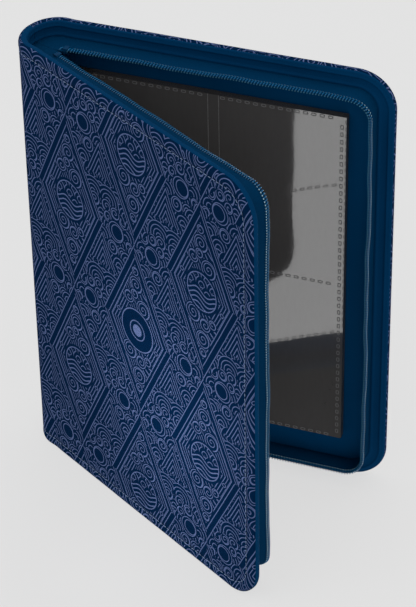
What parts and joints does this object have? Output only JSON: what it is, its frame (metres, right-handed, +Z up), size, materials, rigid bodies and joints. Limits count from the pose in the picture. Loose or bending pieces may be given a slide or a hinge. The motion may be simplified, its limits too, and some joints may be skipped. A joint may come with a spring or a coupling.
{
  "type": "trading card binder",
  "caption": "Zip-up album for trading cards: padded printed covers on a rounded spine, a zip gusset round three edges and leaves of side-loading pockets inside.",
  "frame": {"origin": "middle of the base of the standing album", "axes": "+Z up along the spine, +X from the spine towards the back cover's fore-edge, +Y out of the back cover"},
  "size_m": [0.189, 0.1209, 0.25],
  "materials": {
    "printed_cloth": "woven navy cloth with a fine lavender line print",
    "foam": "thin open foam sheet",
    "board": "grey board",
    "lining": "smooth dark blue cloth",
    "binding": "blue ribbed tape",
    "zip_tape": "blue woven zip tape",
    "zip_coil": "blue nylon coil",
    "zip_metal": "dark blue enamel on cast metal",
    "pull": "dark blue enamel on cast metal",
    "leaf_plastic": "black sheet under clear glossy film"
  },
  "bodies": {
    "back_cover": {"back_cover_skin": "printed_cloth", "back_cover_foam": "foam", "back_cover_board": "board", "back_cover_lining": "lining", "back_edge_binding": "binding", "back_zip_flange": "binding", "back_piping": "binding", "back_zip_tape": "zip_tape", "back_zip_coil": "zip_coil", "back_zip_stops": "zip_metal"},
    "spine": {"spine_skin": "printed_cloth", "spine_insert": "board", "spine_lining": "lining", "spine_binding": "binding", "spine_flange": "binding", "spine_piping": "binding", "spine_cap_top": "zip_tape", "spine_cap_bottom": "zip_tape", "binding_strip": "lining"},
    "front_cover": {"front_cover_skin": "printed_cloth", "front_cover_foam": "foam", "front_cover_board": "board", "front_cover_lining": "lining", "front_edge_binding": "binding", "front_zip_flange": "binding", "front_piping": "binding", "front_zip_tape": "zip_tape", "front_zip_coil": "zip_coil", "front_zip_stops": "zip_metal"},
    "zip_slider": {"zip_slider_body": "zip_metal"},
    "zip_pull": {"zip_pull_tab": "pull"},
    "leaf_01": {"leaf_01": "leaf_plastic"},
    "leaf_02": {"leaf_02": "leaf_plastic"},
    "leaf_03": {"leaf_03": "leaf_plastic"},
    "leaf_04": {"leaf_04": "leaf_plastic"},
    "leaf_05": {"leaf_05": "leaf_plastic"},
    "leaf_06": {"leaf_06": "leaf_plastic"},
    "leaf_07": {"leaf_07": "leaf_plastic"},
    "leaf_08": {"leaf_08": "leaf_plastic"},
    "leaf_09": {"leaf_09": "leaf_plastic"},
    "leaf_10": {"leaf_10": "leaf_plastic"},
    "leaf_11": {"leaf_11": "leaf_plastic"},
    "leaf_12": {"leaf_12": "leaf_plastic"},
    "leaf_13": {"leaf_13": "leaf_plastic"},
    "leaf_14": {"leaf_14": "leaf_plastic"},
    "leaf_15": {"leaf_15": "leaf_plastic"},
    "leaf_16": {"leaf_16": "leaf_plastic"},
    "leaf_17": {"leaf_17": "leaf_plastic"},
    "leaf_18": {"leaf_18": "leaf_plastic"},
    "leaf_19": {"leaf_19": "leaf_plastic"},
    "leaf_20": {"leaf_20": "leaf_plastic"}
  },
  "joints": [
    {"name": "spine_fold", "type": "hinge", "parent": "back_cover", "child": "spine", "pos_m": [-0.07369, 0.06024, 0.125], "axis": [0, 0, -1], "range_deg": [-15.35, 74.65]},
    {"name": "front_fold", "type": "hinge", "parent": "spine", "child": "front_cover", "pos_m": [-0.08335, 0.02504, 0.125], "axis": [0, 0, -1], "range_deg": [-15.35, 74.65]},
    {"name": "leaf_01_turn", "type": "hinge", "parent": "spine", "child": "leaf_01", "pos_m": [-0.07047, 0.05459, 0.12625], "axis": [0, 0, -1], "range_deg": [-74.65, 15.35]},
    {"name": "leaf_02_turn", "type": "hinge", "parent": "spine", "child": "leaf_02", "pos_m": [-0.07022, 0.05414, 0.12625], "axis": [0, 0, -1], "range_deg": [-74.65, 15.35]},
    {"name": "leaf_03_turn", "type": "hinge", "parent": "spine", "child": "leaf_03", "pos_m": [-0.06997, 0.0537, 0.12625], "axis": [0, 0, -1], "range_deg": [-74.65, 15.35]},
    {"name": "leaf_04_turn", "type": "hinge", "parent": "spine", "child": "leaf_04", "pos_m": [-0.06972, 0.05326, 0.12625], "axis": [0, 0, -1], "range_deg": [-74.65, 15.35]},
    {"name": "leaf_05_turn", "type": "hinge", "parent": "spine", "child": "leaf_05", "pos_m": [-0.06947, 0.05282, 0.12625], "axis": [0, 0, -1], "range_deg": [-74.65, 15.35]},
    {"name": "leaf_06_turn", "type": "hinge", "parent": "spine", "child": "leaf_06", "pos_m": [-0.06921, 0.05237, 0.12625], "axis": [0, 0, -1], "range_deg": [-74.65, 15.35]},
    {"name": "leaf_07_turn", "type": "hinge", "parent": "spine", "child": "leaf_07", "pos_m": [-0.06896, 0.05193, 0.12625], "axis": [0, 0, -1], "range_deg": [-74.65, 15.35]},
    {"name": "leaf_08_turn", "type": "hinge", "parent": "spine", "child": "leaf_08", "pos_m": [-0.06871, 0.05149, 0.12625], "axis": [0, 0, -1], "range_deg": [-74.65, 15.35]},
    {"name": "leaf_09_turn", "type": "hinge", "parent": "spine", "child": "leaf_09", "pos_m": [-0.06846, 0.05105, 0.12625], "axis": [0, 0, -1], "range_deg": [-74.65, 15.35]},
    {"name": "leaf_10_turn", "type": "hinge", "parent": "spine", "child": "leaf_10", "pos_m": [-0.06821, 0.0506, 0.12625], "axis": [0, 0, -1], "range_deg": [-74.65, 15.35]},
    {"name": "leaf_11_turn", "type": "hinge", "parent": "spine", "child": "leaf_11", "pos_m": [-0.07372, 0.03053, 0.12625], "axis": [0, 0, -1], "range_deg": [-15.35, 74.65]},
    {"name": "leaf_12_turn", "type": "hinge", "parent": "spine", "child": "leaf_12", "pos_m": [-0.07416, 0.03027, 0.12625], "axis": [0, 0, -1], "range_deg": [-15.35, 74.65]},
    {"name": "leaf_13_turn", "type": "hinge", "parent": "spine", "child": "leaf_13", "pos_m": [-0.0746, 0.03002, 0.12625], "axis": [0, 0, -1], "range_deg": [-15.35, 74.65]},
    {"name": "leaf_14_turn", "type": "hinge", "parent": "spine", "child": "leaf_14", "pos_m": [-0.07505, 0.02977, 0.12625], "axis": [0, 0, -1], "range_deg": [-15.35, 74.65]},
    {"name": "leaf_15_turn", "type": "hinge", "parent": "spine", "child": "leaf_15", "pos_m": [-0.07549, 0.02952, 0.12625], "axis": [0, 0, -1], "range_deg": [-15.35, 74.65]},
    {"name": "leaf_16_turn", "type": "hinge", "parent": "spine", "child": "leaf_16", "pos_m": [-0.07593, 0.02927, 0.12625], "axis": [0, 0, -1], "range_deg": [-15.35, 74.65]},
    {"name": "leaf_17_turn", "type": "hinge", "parent": "spine", "child": "leaf_17", "pos_m": [-0.07637, 0.02901, 0.12625], "axis": [0, 0, -1], "range_deg": [-15.35, 74.65]},
    {"name": "leaf_18_turn", "type": "hinge", "parent": "spine", "child": "leaf_18", "pos_m": [-0.07682, 0.02876, 0.12625], "axis": [0, 0, -1], "range_deg": [-15.35, 74.65]},
    {"name": "leaf_19_turn", "type": "hinge", "parent": "spine", "child": "leaf_19", "pos_m": [-0.07726, 0.02851, 0.12625], "axis": [0, 0, -1], "range_deg": [-15.35, 74.65]},
    {"name": "leaf_20_turn", "type": "hinge", "parent": "spine", "child": "leaf_20", "pos_m": [-0.0777, 0.02826, 0.12625], "axis": [0, 0, -1], "range_deg": [-15.35, 74.65]},
    {"name": "slider_travel", "type": "slide", "parent": "back_cover", "child": "zip_slider", "axis": [1, 0, 0], "range_m": [0, 0.13]},
    {"name": "pull_swing", "type": "hinge", "parent": "zip_slider", "child": "zip_pull", "pos_m": [-0.06769, 0.04199, 0.00566], "axis": [0, 1, 0], "range_deg": [-8, 100]}
  ],
  "couplings": [
    {"joint": "front_fold", "follows": "spine_fold", "ratio": 1},
    {"joint": "leaf_01_turn", "follows": "spine_fold", "ratio": -1},
    {"joint": "leaf_02_turn", "follows": "spine_fold", "ratio": -1},
    {"joint": "leaf_03_turn", "follows": "spine_fold", "ratio": -1},
    {"joint": "leaf_04_turn", "follows": "spine_fold", "ratio": -1},
    {"joint": "leaf_05_turn", "follows": "spine_fold", "ratio": -1},
    {"joint": "leaf_06_turn", "follows": "spine_fold", "ratio": -1},
    {"joint": "leaf_07_turn", "follows": "spine_fold", "ratio": -1},
    {"joint": "leaf_08_turn", "follows": "spine_fold", "ratio": -1},
    {"joint": "leaf_09_turn", "follows": "spine_fold", "ratio": -1},
    {"joint": "leaf_10_turn", "follows": "spine_fold", "ratio": -1},
    {"joint": "leaf_11_turn", "follows": "spine_fold", "ratio": 1},
    {"joint": "leaf_12_turn", "follows": "spine_fold", "ratio": 1},
    {"joint": "leaf_13_turn", "follows": "spine_fold", "ratio": 1},
    {"joint": "leaf_14_turn", "follows": "spine_fold", "ratio": 1},
    {"joint": "leaf_15_turn", "follows": "spine_fold", "ratio": 1},
    {"joint": "leaf_16_turn", "follows": "spine_fold", "ratio": 1},
    {"joint": "leaf_17_turn", "follows": "spine_fold", "ratio": 1},
    {"joint": "leaf_18_turn", "follows": "spine_fold", "ratio": 1},
    {"joint": "leaf_19_turn", "follows": "spine_fold", "ratio": 1},
    {"joint": "leaf_20_turn", "follows": "spine_fold", "ratio": 1}
  ]
}
